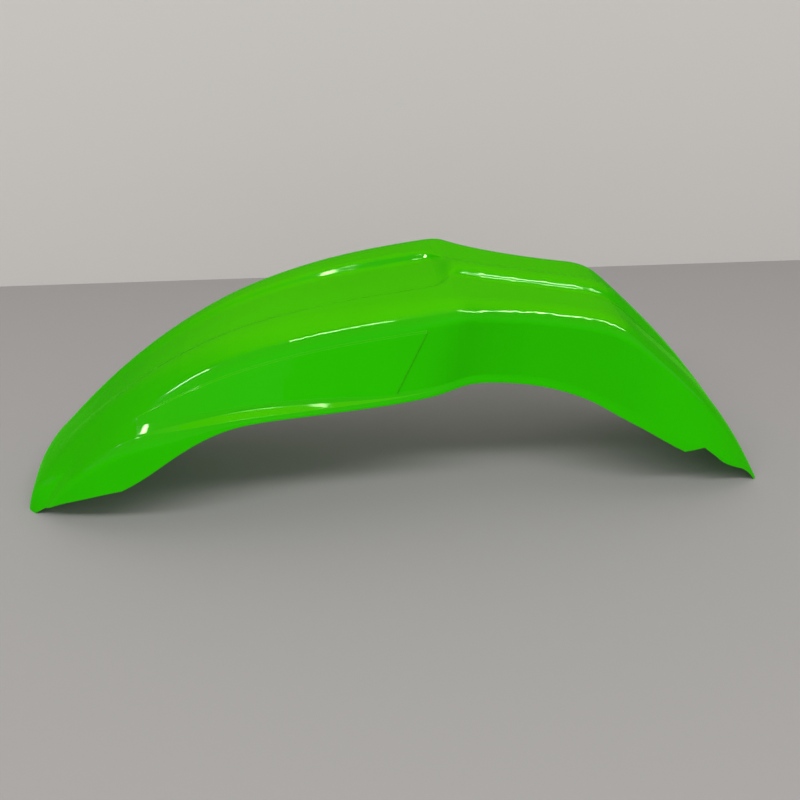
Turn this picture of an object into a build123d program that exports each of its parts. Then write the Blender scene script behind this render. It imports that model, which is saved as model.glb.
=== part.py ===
from build123d import *
import math
import os

# Overall sizes in mm: x runs to the tail, z up, the crown is the highest line
FRONT_LENGTH = 402.0
MOUNT_LENGTH = 150.0
TAIL_LENGTH = 168.0
CROWN_LEVEL = 220.7
LAND_LEVEL = 219.6
LAND_FALL = 25.4
WALL = 3.0

# Half widths of the shoulder and of the lower edge
CROWN_HALF = 95.0
MOUNT_HALF = 75.5
TAIL_HALF = 83.0
FLANGE_HALF = 113.5
WAIST_HALF = 77.0
TAIL_EDGE_HALF = 86.7

# Shoulder facet: how far it falls and how wide it is
FACET_DROP = 7.0
FACET_WIDTH = 22.0
LAND_FACET = 14.0

# Channel between the front rims
CHANNEL_DEPTH = 6.5
CHANNEL_HALF = 35.0
CHANNEL_BANK = 9.0
RIM_RISE = 1.0

# Raised bead from the mount down to the tail
BEAD_SHOULDER = 5.0
BEAD_ROOF = 2.7
BEAD_HALF = 12.0
BEAD_FLANK = 6.0

# Lobe of the nose, brim above the lower edge and turned lip behind it
LOBE_HEIGHT = 41.0
LOBE_LEAN = 0.1
BRIM_WIDTH = 15.5
BRIM_DROP = 9.0
LIP = 4.0
LIP_STEP = 0.6

# Raised panel on each side wall, its ends measured ahead of the crown
PANEL_RISE = 1.2
PANEL_ROOT = 1.5
PANEL_SLOPE = 3.2
PANEL_GAP = 8.0
PANEL_FOOT = 1.5
PANEL_FRONT_TOP = 280.0
PANEL_FRONT_FOOT = 300.0
PANEL_FRONT_CORNER = 135.0
PANEL_BACK_TOP = 26.0
PANEL_BACK_FOOT = 56.0
PANEL_BACK_CORNER = 202.0
PANEL_BACK_HEEL = 141.0
PANEL_UNDER = 90.0
PANEL_REACH = 350.0

# Lower edge of the nose, measured back from its tip, and its run below the floor
NOSE_CORNER = 1.5
NOSE_EDGE = [(35, 25.5), (60, 38.5), (80, 47.5), (115, 59)]
NOSE_RUN = 10.0

# Step in each lower edge of the tail, and the tail end, measured from the mount
STEP_START = 66.0
STEP_PEAK = 95.0
STEP_LEVEL = 57.5
STEP_CLIMB = 1.0
TAIL_EDGE = [(111, 44.8), (128, 31.5), (145, 21.7), (165.5, 0), (174, -12)]

# Corners that are cut flat or rounded, as the length taken off each side of a corner
CUT_LIP = 1.6
CUT_CREASE = 4.0
CUT_INNER = 3.0
ROUND_NOSE = 10.0
ROUND_SHOULDER = 9.0
ROUND_DECK = 9.0
ROUND_BEAD = 3.5
ROUND_APEX = 7.0
CORNER_SHARE = 0.45


# A guide holds a size, as shares of its full value, at shares of the front, the mount and the tail
def guide(size, front, mount, tail):
    knots = [(-FRONT_LENGTH * share, size * value) for share, value in front]
    knots += [(MOUNT_LENGTH * share, size * value) for share, value in mount]
    knots += [(MOUNT_LENGTH + TAIL_LENGTH * share, size * value) for share, value in tail]
    return knots


# Level of the flat mounting land, which falls evenly toward the tail
def land(share):
    return share, (LAND_LEVEL - LAND_FALL * share) / CROWN_LEVEL


# Level of the deck, along the middle of the piece
DECK = guide(
    CROWN_LEVEL,
    [(1.05, -0.27), (1.03, -0.09), (1.013, 0.045), (1, 0.12), (0.953, 0.208), (0.858, 0.387), (0.694, 0.623),
     (0.49, 0.82), (0.236, 0.945), (0.104, 0.979)],
    [(0, 1), (0.11, 0.985), land(0.2), land(0.3), land(0.83), land(0.92)],
    [(0, 0.871), (0.05, 0.85), (0.18, 0.765), (0.464, 0.564), (0.756, 0.313), (1, 0.018), (1.07, -0.082),
     (1.14, -0.182)],
)

# Shoulder corner: half width, fall from the deck and facet width
SHOULDER = guide(
    CROWN_HALF,
    [(1.05, 0.28), (1.03, 0.38), (1, 0.515), (0.95, 0.568), (0.858, 0.611), (0.724, 0.716), (0.587, 0.811),
     (0.321, 0.942), (0.104, 1)],
    [(0, 1), (0.09, 0.953), (0.22, 0.879), (0.42, 0.816), (0.75, MOUNT_HALF / CROWN_HALF)],
    [(0, 0.858), (0.06, TAIL_HALF / CROWN_HALF), (0.18, 0.853), (0.464, 0.753), (0.756, 0.642), (1, 0.568),
     (1.14, 0.485)],
)
FALL = guide(
    FACET_DROP,
    [(1, 0.429), (0.925, 1), (0.858, 1.429), (0.587, 1.286), (0.104, 1)],
    [(0, 1), (0.3, 0.929)],
    [(0, 0.929), (0.68, 0.714), (1, 0.429)],
)
FACET = guide(
    FACET_WIDTH,
    [(1.03, 0.364), (1, 0.545), (0.858, 0.909), (0.587, 1.136), (0.104, 1)],
    [(0, 0.818), (0.3, LAND_FACET / FACET_WIDTH)],
    [(0.3, LAND_FACET / FACET_WIDTH), (1, 0.545)],
)

# Lower edge: half width and level
EDGE = guide(
    FLANGE_HALF,
    [(1.05, 0.28), (1.03, 0.37), (1, 0.495), (0.95, 0.6), (0.913, 0.678), (0.808, 0.846), (0.689, 0.934),
     (0.478, 0.991), (0.346, 1), (0.172, 0.974), (0.085, 0.934), (0.037, 0.872)],
    [(0.1, 0.749), (0.35, 0.687), (0.75, WAIST_HALF / FLANGE_HALF)],
    [(0.077, 0.753), (0.4, TAIL_EDGE_HALF / FLANGE_HALF), (0.655, 0.7), (0.863, 0.617), (1, 0.485),
     (1.14, 0.325)],
)
EDGE_LEVEL = guide(
    CROWN_LEVEL,
    [(1.05, -0.54), (1.03, -0.408), (1, -0.208), (0.913, 0.036), (0.808, 0.19), (0.709, 0.292),
     (0.61, 0.446), (0.564, 0.51), (0.475, 0.571), (0.346, 0.592), (0.173, 0.618), (0.037, 0.632)],
    [(0.1, 0.641), (0.28, 0.63), (0.48, 0.608), (0.65, 0.58), (0.82, 0.534)],
    [(0.137, 0.407), (0.304, 0.332), (0.427, 0.261), (0.655, 0.172), (0.863, 0.036), (1, -0.113),
     (1.14, -0.295)],
)

# Brim along the lower edge: lobe height, width and fall
LOBE = guide(
    LOBE_HEIGHT,
    [(1, 0.537), (0.913, 0.732), (0.808, 0.927), (0.724, 1), (0.61, 0.378), (0.564, 0.183),
     (0.478, LIP / LOBE_HEIGHT)],
    [(0.8, LIP / LOBE_HEIGHT)],
    [(0.4, 0.171), (1, 0.22)],
)
BRIM = guide(
    BRIM_WIDTH,
    [(1, 0.065), (0.963, 0.194), (0.858, 0.71), (0.587, 1), (0.478, 0.968), (0.256, 0.665), (0.13, 0.258)],
    [(0.35, LIP_STEP / BRIM_WIDTH)],
    [(0, LIP_STEP / BRIM_WIDTH), (1, 0.077)],
)
BRIM_FALL = guide(
    BRIM_DROP,
    [(1, 0.333), (0.963, 0.444), (0.858, 0.889), (0.587, 1), (0.478, 0.444), (0.346, 0.622), (0.169, 0.233)],
    [(0.5, 0.333)],
    [(0.4, 0.667), (1, 0.889)],
)

# Channel rim on the front, bead foot behind the crown
BEAD_FOOT = (BEAD_HALF + BEAD_FLANK) / (CHANNEL_HALF + CHANNEL_BANK)
RIM = guide(
    CHANNEL_HALF + CHANNEL_BANK,
    [(1.05, 0.227), (1.03, 0.318), (1, 0.455), (0.858, 0.614), (0.587, 0.818), (0.236, 0.966), (0.104, 1),
     (0.03, 1)],
    [(0.03, 0.5), (0.09, BEAD_FOOT)],
    [(0, BEAD_FOOT), (1, 0.318)],
)
RIM_LEVEL = guide(
    RIM_RISE,
    [(1, 3), (0.93, 2), (0.858, 0.6), (0.587, 1), (0.05, 1)],
    [(0.03, 0)],
    [(1, 0)],
)

# Channel floor on the front, bead shoulder behind the crown, and the middle line above it
BEAD_TOP = BEAD_HALF / CHANNEL_HALF
BEAD_RISE = BEAD_SHOULDER / CHANNEL_DEPTH
FLOOR = guide(
    CHANNEL_HALF,
    [(1.05, 0.162), (1.03, 0.257), (1, 0.4), (0.858, 0.543), (0.587, 0.771), (0.236, 0.957), (0.104, 1),
     (0.03, 1)],
    [(0.03, 0.429), (0.09, BEAD_TOP)],
    [(0, BEAD_TOP), (1, 0.286)],
)
FLOOR_LEVEL = guide(
    CHANNEL_DEPTH,
    [(1, 0.615), (0.93, 0.338), (0.858, -0.123), (0.587, -0.4), (0.413, -0.538), (0.236, -0.815),
     (0.104, -1), (0.035, -1)],
    [(0.007, 0.077), (0.053, 0.677), (0.107, BEAD_RISE)],
    [(0, BEAD_RISE), (0.464, 0.369), (0.643, 0), (1, 0)],
)
MIDDLE = guide(
    BEAD_ROOF,
    [(1, 0.556), (0.858, 0.074), (0.035, 0.074)],
    [(0.107, 1)],
    [(0, 1), (0.464, 0.444), (0.643, 0.111), (1, 0.074)],
)

# Sections from ahead of the nose to behind the tail, close together where the piece turns
STATIONS = [x for x, _ in guide(
    1,
    [(s, 0) for s in (1.06, 1.035, 1.01, 0.98, 0.94, 0.88, 0.8, 0.71, 0.61, 0.5, 0.38, 0.26, 0.15, 0.06,
                      0.02)],
    [(s, 0) for s in (0.01, 0.05, 0.1, 0.2, 0.41, 0.62, 0.83, 0.92)],
    [(s, 0) for s in (0.035, 0.1, 0.21, 0.37, 0.55, 0.73, 0.9, 1.03, 1.12)],
)]


# Smooth value of a guide at x, without overshoot between its knots
def along(knots, x):
    if x <= knots[0][0]:
        return knots[0][1]
    if x >= knots[-1][0]:
        return knots[-1][1]
    gaps = [b[0] - a[0] for a, b in zip(knots, knots[1:])]
    rises = [(b[1] - a[1]) / g for a, b, g in zip(knots, knots[1:], gaps)]
    slopes = [rises[0]]
    for i in range(1, len(rises)):
        if rises[i - 1] * rises[i] > 0:
            near = 2 * gaps[i] + gaps[i - 1]
            far = gaps[i] + 2 * gaps[i - 1]
            slopes.append((near + far) / (near / rises[i - 1] + far / rises[i]))
        else:
            slopes.append(0.0)
    slopes.append(rises[-1])
    i = max(k for k in range(len(gaps)) if knots[k][0] <= x)
    t = (x - knots[i][0]) / gaps[i]
    start = knots[i][1] * (1 + 2 * t) * (1 - t) ** 2 + gaps[i] * slopes[i] * t * (1 - t) ** 2
    end = knots[i + 1][1] * t * t * (3 - 2 * t) + gaps[i] * slopes[i + 1] * t * t * (t - 1)
    return start + end


# Corners of the outer section at x, from one lower edge over the deck to the other
def outer_corners(x):
    deck = along(DECK, x)
    edge = Vector(along(EDGE, x), along(EDGE_LEVEL, x))
    lobe = along(LOBE, x)
    brim = edge + Vector(-LOBE_LEAN * lobe, lobe)
    crease = brim + Vector(-along(BRIM, x), along(BRIM_FALL, x))
    shoulder = Vector(along(SHOULDER, x), deck - along(FALL, x))
    land = Vector(shoulder.X - along(FACET, x), deck)
    rim = Vector(along(RIM, x), deck + along(RIM_LEVEL, x))
    floor = Vector(along(FLOOR, x), deck + along(FLOOR_LEVEL, x))
    middle = Vector(0, floor.Y + along(MIDDLE, x))
    half = [edge, brim, crease, shoulder, land, rim, floor]
    return half + [middle] + [Vector(-p.X, p.Y) for p in reversed(half)]


# Inward normal of each straight run of a section
def run_normals(corners):
    runs = [(b - a).normalized() for a, b in zip(corners, corners[1:])]
    return [Vector(-run.Y, run.X) for run in runs]


# Corners of the inner section: the wall is measured square to the sloping surface, and a corner that turns
# by less than this many degrees takes the mean of its two walls
STRAIGHT_TURN = 2.56


def inner_corners(x, depth):
    corners = outer_corners(x)
    before = outer_corners(x - 1)
    after = outer_corners(x + 1)
    normals = run_normals(corners)
    walls = []
    for i, normal in enumerate(normals):
        drift = (after[i] + after[i + 1] - before[i] - before[i + 1]) * 0.25
        walls.append(depth * math.sqrt(1 + drift.dot(normal) ** 2))
    inner = [corners[0] + normals[0] * walls[0]]
    for i in range(1, len(corners) - 1):
        n1, n2, t1, t2 = normals[i - 1], normals[i], walls[i - 1], walls[i]
        k = n1.dot(n2)
        if k > math.cos(math.radians(STRAIGHT_TURN)):
            inner.append(corners[i] + (n1 * t1 + n2 * t2) * 0.5)
        else:
            inner.append(corners[i] + (n1 * (t1 - t2 * k) + n2 * (t2 - t1 * k)) * (1 / (1 - k * k)))
    inner.append(corners[-1] + normals[-1] * walls[-1])
    return inner


# Control points of the spans along a section: straight runs and, where the trim isn't nil, corner spans
# between them, from a flat cut at fullness 0 to a full rounding at 1
def spans(x, corners, trims, fullness):
    points = [Vector(x, p.X, p.Y) for p in corners]
    result = []
    start = points[0]
    for i in range(1, len(points) - 1):
        back = points[i - 1] - points[i]
        ahead = points[i + 1] - points[i]
        trim = min(trims[i - 1], CORNER_SHARE * back.length, CORNER_SHARE * ahead.length)
        a = points[i] + back.normalized() * trim
        b = points[i] + ahead.normalized() * trim
        result.append([start, a])
        if trims[i - 1] > 0:
            flat = (a + b) * 0.5
            result.append([a, flat + (points[i] - flat) * fullness[i - 1], b])
        start = b
    return result + [[start, points[-1]]]


# The same list for both halves of a section, with the middle between
def both_halves(half, middle):
    return half + [middle] + half[::-1]


# The lip and the crease are round and soft on the nose, and plain cuts behind it
NOSE_SOFT = guide(1, [(0.78, 1), (0.5, 0)], [], [])
INNER_TRIMS = both_halves([0, 0, CUT_INNER, 0, 0, 0], 0)
INNER_FULLNESS = both_halves([0] * 6, 0)


# Spans of the closed section at x: outer face, inner face and the two cut edges
def section(x):
    soft = along(NOSE_SOFT, x)
    lip = CUT_LIP + (ROUND_NOSE - CUT_LIP) * soft
    crease = CUT_CREASE + (ROUND_NOSE - CUT_CREASE) * soft
    trims = both_halves([lip, crease, ROUND_SHOULDER, ROUND_DECK, ROUND_BEAD, ROUND_BEAD], ROUND_APEX)
    fullness = both_halves([soft, soft, 1, 1, 1, 1], 1)
    outer = spans(x, outer_corners(x), trims, fullness)
    inner = spans(x, inner_corners(x, WALL), INNER_TRIMS, INNER_FULLNESS)
    ends = [[outer[0][0], inner[0][0]], [outer[-1][-1], inner[-1][-1]]]
    return outer + inner + ends


# How much each of four neighbouring sections counts in the rows of the strip between the middle two
STRIP = [(1 / 6, 4 / 6, 1 / 6, 0), (0, 2 / 3, 1 / 3, 0), (0, 1 / 3, 2 / 3, 0), (0, 1 / 6, 4 / 6, 1 / 6)]


# Rows of control points for every patch of the strip
def strip(four):
    patches = []
    for quad in zip(*four):
        rows = [[sum((p * w for p, w in zip(points, weights)), Vector(0, 0, 0)) for points in zip(*quad)]
                for weights in STRIP]
        patches.append(rows)
    return patches


# Flat face closing the first or the last section
def end_face(spans_here):
    edges = [Edge.make_bezier(*span) if len(span) == 3 else Edge.make_line(*span) for span in spans_here]
    return Face(Wire(edges))


# Solid that runs smoothly past a row of closed sections
def sweep_past(sections):
    strips = [strip(four) for four in zip(sections, sections[1:], sections[2:], sections[3:])]
    faces = [Face.make_bezier_surface(rows) for patches in strips for rows in patches]
    faces.append(end_face([rows[0] for rows in strips[0]]))
    faces.append(end_face([rows[-1] for rows in strips[-1]]))
    return Solid(Shell(faces))


shell = sweep_past([section(x) for x in STATIONS])


# Prism across the whole piece with the given side outline
def across(edges):
    face = Face(Wire(edges))
    return extrude(face, amount=2 * FLANGE_HALF, dir=(0, 1, 0), both=True)


# Side outline points as places in the middle plane
def side(points):
    return [Vector(x, 0, z) for x, z in points]


# The piece ends at the floor, and the nose and tail edges are trimmed to their side outline
shell = split(shell, bisect_by=Plane.XY, keep=Keep.TOP)
nose_line = side([(-FRONT_LENGTH + NOSE_CORNER - NOSE_RUN, -NOSE_RUN), (-FRONT_LENGTH + NOSE_CORNER, 0)]
                 + [(-FRONT_LENGTH + x, z) for x, z in NOSE_EDGE])
nose_under = Vector(nose_line[-1].X, 0, nose_line[0].Z)
shell -= across([Edge.make_spline(nose_line)] + Polyline(nose_line[-1], nose_under, nose_line[0]).edges())
tail_line = side([(MOUNT_LENGTH + x, z) for x, z in TAIL_EDGE])
step_start = MOUNT_LENGTH + STEP_START
tail_rest = side([(step_start, tail_line[-1].Z), (step_start, STEP_LEVEL),
                  (MOUNT_LENGTH + STEP_PEAK, STEP_LEVEL + STEP_CLIMB)])
shell -= across([Edge.make_spline(tail_line)] + Polyline(tail_line[-1], *tail_rest, tail_line[0]).edges())


# The panel fades out at the nose: its rise, and how far its foot reaches over the crease
RISE = guide(PANEL_RISE, [(0.746, 0.25), (0.697, 0.6), (0.6, 1)], [], [])
FOOT = guide(PANEL_FOOT, [(0.746, -2.5), (0.6, 1)], [], [])


# Raised panel on the side wall, between the crease and a gap under the shoulder, sloped along its top
def panel_section(x):
    corners = outer_corners(x)
    crease, shoulder = corners[2], corners[3]
    run = (shoulder - crease).normalized()
    out = Vector(run.Y, -run.X)
    rise = out * along(RISE, x)
    foot = crease - run * along(FOOT, x)
    top = shoulder - run * PANEL_GAP
    root = out * PANEL_ROOT
    ring = [foot + rise, top + rise - run * PANEL_SLOPE, top - root, foot - root]
    ring = [Vector(x, p.X, p.Y) for p in ring]
    return [list(pair) for pair in zip(ring, ring[1:] + ring[:1])]


panel = sweep_past([panel_section(x) for x in STATIONS if -PANEL_REACH < x < 0])
panel_outline = side([(-PANEL_FRONT_FOOT, PANEL_UNDER), (-PANEL_FRONT_TOP, PANEL_FRONT_CORNER),
                      (-PANEL_FRONT_TOP, CROWN_LEVEL), (-PANEL_BACK_TOP, CROWN_LEVEL),
                      (-PANEL_BACK_TOP, PANEL_BACK_CORNER), (-PANEL_BACK_FOOT, PANEL_BACK_HEEL),
                      (-PANEL_BACK_FOOT, PANEL_UNDER)])
panel &= across(Polyline(*panel_outline, close=True).edges())
shell = shell + panel + mirror(panel, Plane.XZ)
shell = shell.solid()

# The nose and the tail stand on the floor, the origin lies under the middle of the piece
box = shell.bounding_box()
shell = Pos(-box.center().X, 0, -box.min.Z) * shell
os.makedirs("parts", exist_ok=True)
export_step(shell, "parts/mudguard.step")
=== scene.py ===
import math

import bpy
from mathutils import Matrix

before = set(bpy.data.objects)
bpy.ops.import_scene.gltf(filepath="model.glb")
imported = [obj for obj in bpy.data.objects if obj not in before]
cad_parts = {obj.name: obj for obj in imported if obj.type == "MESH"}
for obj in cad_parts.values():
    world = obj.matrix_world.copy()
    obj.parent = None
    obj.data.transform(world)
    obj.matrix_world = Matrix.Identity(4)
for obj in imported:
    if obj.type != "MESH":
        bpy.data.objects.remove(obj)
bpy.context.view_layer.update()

# The mudguard is one injection-moulded shell of bright green polypropylene.
# Its skin comes glossy out of a polished mould, and the plastic is coloured
# right through, so a scuffed spot or a cut edge is only a little paler.
GLOSS_INDEX = 1.5
GLOSS_LEVEL = 0.3
GLOSS_TINT = (0.65, 1, 0.4, 1)
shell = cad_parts["mudguard"]
plastic = bpy.data.materials.new("green_plastic")
plastic.use_nodes = True
nodes = plastic.node_tree.nodes
links = plastic.node_tree.links
skin = nodes["Principled BSDF"]
skin.inputs["IOR"].default_value = GLOSS_INDEX
skin.inputs["Specular IOR Level"].default_value = GLOSS_LEVEL
skin.inputs["Specular Tint"].default_value = GLOSS_TINT
place = nodes.new("ShaderNodeTexCoord")

# The upper faces are painted yellower than the side walls, a painted reflection of the
# bright room above, and the flanks between them are painted a deeper green, a painted
# shade. Each tone stands at the upward share of a face's normal that it belongs to.
WALL_GREEN = (0.019, 0.455, 0.0004, 1)
WALL_UPWARD = 0.1
FLANK_SHADE_GREEN = (0.02, 0.36, 0.0004, 1)
FLANK_UPWARD = 0.75
DECK_SHEEN_GREEN = (0.05, 0.42, 0.001, 1)
DECK_UPWARD = 0.97
facing = nodes.new("ShaderNodeSeparateXYZ")
links.new(place.outputs["Normal"], facing.inputs["Vector"])
painted_sheen_ramp = nodes.new("ShaderNodeValToRGB")
painted_sheen_ramp.color_ramp.interpolation = "EASE"
sheen_tones = painted_sheen_ramp.color_ramp.elements
sheen_tones[0].position = WALL_UPWARD
sheen_tones[0].color = WALL_GREEN
sheen_tones[1].position = DECK_UPWARD
sheen_tones[1].color = DECK_SHEEN_GREEN
sheen_tones.new(FLANK_UPWARD).color = FLANK_SHADE_GREEN
links.new(facing.outputs["Z"], painted_sheen_ramp.inputs["Fac"])

# Slow clouds in the colour follow the way the plastic flowed into the mould.
# They lie on the coordinates of the piece itself, so they stay put on it.
FLOW_SCALE = 7
FLOW_DETAIL = 3
FLOW_SHARE = 0.08
flow = nodes.new("ShaderNodeTexNoise")
flow.inputs["Scale"].default_value = FLOW_SCALE
flow.inputs["Detail"].default_value = FLOW_DETAIL
links.new(place.outputs["Object"], flow.inputs["Vector"])
flow_value = nodes.new("ShaderNodeMapRange")
flow_value.inputs["To Min"].default_value = 1 - FLOW_SHARE
flow_value.inputs["To Max"].default_value = 1 + FLOW_SHARE
links.new(flow.outputs["Fac"], flow_value.inputs["Value"])
clouds = nodes.new("ShaderNodeHueSaturation")
links.new(painted_sheen_ramp.outputs["Color"], clouds.inputs["Color"])
links.new(flow_value.outputs["Result"], clouds.inputs["Value"])

# Every sharp edge is broken by a small radius, and is painted paler along it, partly as
# wear and partly as a painted highlight. The cosine of the turn that the radius gives the
# normal says where the edge is.
EDGE_RADIUS = 0.0011
EDGE_SAMPLES = 6
EDGE_WEAR_AND_HIGHLIGHT_GREEN = (0.16, 0.74, 0.04, 1)
EDGE_BEGINS = 0.97
EDGE_FULL = 0.8
EDGE_SHARE = 0.6
radius = nodes.new("ShaderNodeBevel")
radius.samples = EDGE_SAMPLES
radius.inputs["Radius"].default_value = EDGE_RADIUS
true_side = nodes.new("ShaderNodeNewGeometry")
turn = nodes.new("ShaderNodeVectorMath")
turn.operation = "DOT_PRODUCT"
links.new(radius.outputs["Normal"], turn.inputs[0])
links.new(true_side.outputs["Normal"], turn.inputs[1])
edge = nodes.new("ShaderNodeMapRange")
edge.inputs["From Min"].default_value = EDGE_BEGINS
edge.inputs["From Max"].default_value = EDGE_FULL
edge.inputs["To Max"].default_value = EDGE_SHARE
links.new(turn.outputs["Value"], edge.inputs["Value"])
worn_and_highlit_edge = nodes.new("ShaderNodeMix")
worn_and_highlit_edge.data_type = "RGBA"
worn_and_highlit_edge.inputs["B"].default_value = EDGE_WEAR_AND_HIGHLIGHT_GREEN
links.new(edge.outputs["Result"], worn_and_highlit_edge.inputs["Factor"])
links.new(clouds.outputs["Color"], worn_and_highlit_edge.inputs["A"])
links.new(worn_and_highlit_edge.outputs["Result"], skin.inputs["Base Color"])

# Hairlines from wiping run along the piece and dull the gloss in patches.
# They are stretched noise, long along the piece and fine across it.
HAIRLINE_SCALE = (18, 900, 900)
HAIRLINE_DETAIL = 2
HAIRLINE_RANGE = (0.5, 0.8)
FINE_ROUGHNESS = 0.05
WORN_ROUGHNESS = 0.11
hairline_place = nodes.new("ShaderNodeMapping")
hairline_place.inputs["Scale"].default_value = HAIRLINE_SCALE
links.new(place.outputs["Object"], hairline_place.inputs["Vector"])
hairline = nodes.new("ShaderNodeTexNoise")
hairline.inputs["Scale"].default_value = 1
hairline.inputs["Detail"].default_value = HAIRLINE_DETAIL
links.new(hairline_place.outputs["Vector"], hairline.inputs["Vector"])
gloss = nodes.new("ShaderNodeMapRange")
gloss.inputs["From Min"].default_value = HAIRLINE_RANGE[0]
gloss.inputs["From Max"].default_value = HAIRLINE_RANGE[1]
gloss.inputs["To Min"].default_value = FINE_ROUGHNESS
gloss.inputs["To Max"].default_value = WORN_ROUGHNESS
links.new(hairline.outputs["Fac"], gloss.inputs["Value"])
links.new(gloss.outputs["Result"], skin.inputs["Roughness"])

# The mould leaves a very faint ripple, which shows in the reflections only.
# It is laid over the broken edges, so both reach the shader in one normal.
RIPPLE_SCALE = 420
RIPPLE_HEIGHT = 0.00002
RIPPLE_STRENGTH = 0.05
grain = nodes.new("ShaderNodeTexNoise")
grain.inputs["Scale"].default_value = RIPPLE_SCALE
links.new(place.outputs["Object"], grain.inputs["Vector"])
ripple = nodes.new("ShaderNodeBump")
ripple.inputs["Strength"].default_value = RIPPLE_STRENGTH
ripple.inputs["Distance"].default_value = RIPPLE_HEIGHT
links.new(grain.outputs["Fac"], ripple.inputs["Height"])
links.new(radius.outputs["Normal"], ripple.inputs["Normal"])
links.new(ripple.outputs["Normal"], skin.inputs["Normal"])
shell.data.materials.clear()
shell.data.materials.append(plastic)

# The floor is a smooth sealed floor in matt grey paint. Floor and wall show up
# in the gloss of the piece as a green near its own, so that its colour stays
# as strong as a camera shows it.
FLOOR_REACH = 6.0
FLOOR_GREY = (0.325, 0.314, 0.311, 1)
MIRRORED_GREEN = (0.07, 0.5, 0.02, 1)
MATT_ROUGHNESS = 0.8


def matt_paint(name, colour):
    paint = bpy.data.materials.new(name)
    paint.use_nodes = True
    paint_nodes = paint.node_tree.nodes
    coat = paint_nodes["Principled BSDF"]
    coat.inputs["Roughness"].default_value = MATT_ROUGHNESS
    coat.inputs["Specular IOR Level"].default_value = 0
    seen = paint_nodes.new("ShaderNodeLightPath")
    tone = paint_nodes.new("ShaderNodeMix")
    tone.data_type = "RGBA"
    tone.inputs["A"].default_value = colour
    tone.inputs["B"].default_value = MIRRORED_GREEN
    paint.node_tree.links.new(seen.outputs["Is Glossy Ray"], tone.inputs["Factor"])
    paint.node_tree.links.new(tone.outputs["Result"], coat.inputs["Base Color"])
    return paint


bpy.ops.object.select_all(action="DESELECT")
bpy.ops.mesh.primitive_plane_add(size=2 * FLOOR_REACH)
floor = bpy.context.view_layer.objects.active
floor.name = "floor"
floor.data.materials.append(matt_paint("floor_paint", FLOOR_GREY))

# A plain painted wall stands behind the piece. It shows from its front only,
# so it hides nothing when the piece is looked at from behind.
WALL_PLACE = 0.53
WALL_HEIGHT = 2.6
WALL_UPRIGHT = 90
WALL_WHITE = (0.57, 0.55, 0.535, 1)
bpy.ops.object.select_all(action="DESELECT")
bpy.ops.mesh.primitive_plane_add(
    size=1,
    location=(0, WALL_PLACE, WALL_HEIGHT / 2),
    rotation=(math.radians(WALL_UPRIGHT), 0, 0),
)
wall = bpy.context.view_layer.objects.active
wall.name = "wall"
wall.scale = (2 * FLOOR_REACH, WALL_HEIGHT, 1)
bpy.ops.object.transform_apply(location=True, rotation=True, scale=True)
wall_paint = matt_paint("wall_paint", WALL_WHITE)
wall_nodes = wall_paint.node_tree.nodes
wall_links = wall_paint.node_tree.links
wall_side = wall_nodes.new("ShaderNodeNewGeometry")
wall_open = wall_nodes.new("ShaderNodeBsdfTransparent")
wall_mix = wall_nodes.new("ShaderNodeMixShader")
wall_links.new(wall_side.outputs["Backfacing"], wall_mix.inputs["Fac"])
wall_links.new(wall_nodes["Principled BSDF"].outputs["BSDF"], wall_mix.inputs[1])
wall_links.new(wall_open.outputs["BSDF"], wall_mix.inputs[2])
wall_links.new(wall_mix.outputs["Shader"], wall_nodes["Material Output"].inputs["Surface"])
wall.data.materials.append(wall_paint)

# Long narrow lamps hang overhead in one line along the piece. They are seen in
# its gloss only. Their power is in watts for each metre of lamp.
LAMP_HEIGHT = 2.3
LAMP_PLACE = 0.1
LAMP_WIDTH = 0.14
LAMP_POWER = 24
LAMP_SPANS = ((-5.2, -4.4), (-3.6, -2.5), (-1.25, -0.35), (0.4, 2.3))


def soft_lamp(name, length, width, power, spot):
    light = bpy.data.lights.new(name, "AREA")
    light.shape = "RECTANGLE"
    light.size = length
    light.size_y = width
    light.energy = power
    lamp = bpy.data.objects.new(name, light)
    lamp.location = spot
    bpy.context.collection.objects.link(lamp)
    return lamp


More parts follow.
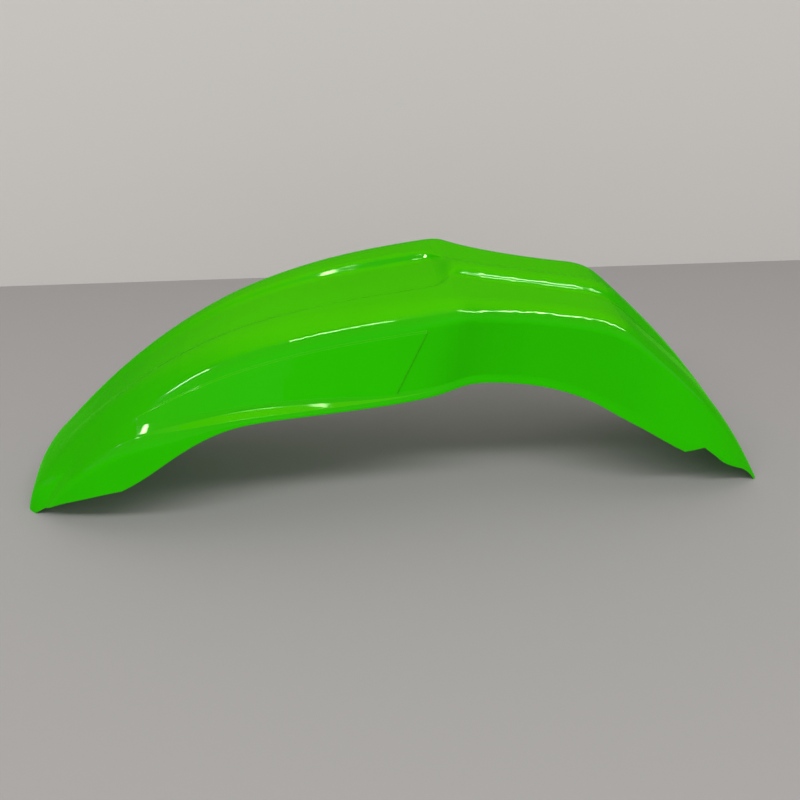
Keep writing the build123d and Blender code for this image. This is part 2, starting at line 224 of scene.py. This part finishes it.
for start, end in LAMP_SPANS:
    middle = ((start + end) / 2, LAMP_PLACE, LAMP_HEIGHT)
    tube = soft_lamp("tube", end - start, LAMP_WIDTH, LAMP_POWER * (end - start), middle)
    tube.visible_diffuse = False

# A long soft lamp high on the camera's side lights the piece and the room, and
# throws the shadow back under the arch. It is not seen in the gloss.
FRONT_SIZE = (4.2, 0.3)
FRONT_POWER = 62
FRONT_PLACE = (-0.4, -1.75, 2.3)
front = soft_lamp("front_lamp", *FRONT_SIZE, FRONT_POWER, FRONT_PLACE)
front.rotation_euler = (math.atan2(-FRONT_PLACE[1], FRONT_PLACE[2]), 0, 0)
front.visible_glossy = False

# Daylight fills the room evenly from all round. The gloss mirrors it as a
# darker room, by a share of its strength.
ROOM_WHITE = (0.8, 0.79, 0.78, 1)
MIRRORED_SHARE = 0.35
world = bpy.data.worlds.new("room")
world.use_nodes = True
room_nodes = world.node_tree.nodes
sky = room_nodes["Background"]
sky.inputs["Color"].default_value = ROOM_WHITE
room_seen = room_nodes.new("ShaderNodeLightPath")
room_level = room_nodes.new("ShaderNodeMapRange")
room_level.inputs["To Min"].default_value = 1
room_level.inputs["To Max"].default_value = MIRRORED_SHARE
world.node_tree.links.new(room_seen.outputs["Is Glossy Ray"], room_level.inputs["Value"])
world.node_tree.links.new(room_level.outputs["Result"], sky.inputs["Strength"])
bpy.context.scene.world = world
bpy.context.scene.view_settings.view_transform = "Standard"

# The camera stands a little to the side of the middle and looks down on the
# piece. Its focal length is given in pixels of the photograph's frame.
PIXELS = 800
FOCUS_PIXELS = 975
CAMERA_PLACE = (-0.0708, -0.8458, 0.5595)
CAMERA_TILT = 60.54
CAMERA_TURN = -5
view = bpy.data.cameras.new("camera")
view.lens = view.sensor_width * FOCUS_PIXELS / PIXELS
camera = bpy.data.objects.new("camera", view)
camera.location = CAMERA_PLACE
camera.rotation_euler = (math.radians(CAMERA_TILT), 0, math.radians(CAMERA_TURN))
bpy.context.collection.objects.link(camera)
bpy.context.scene.camera = camera
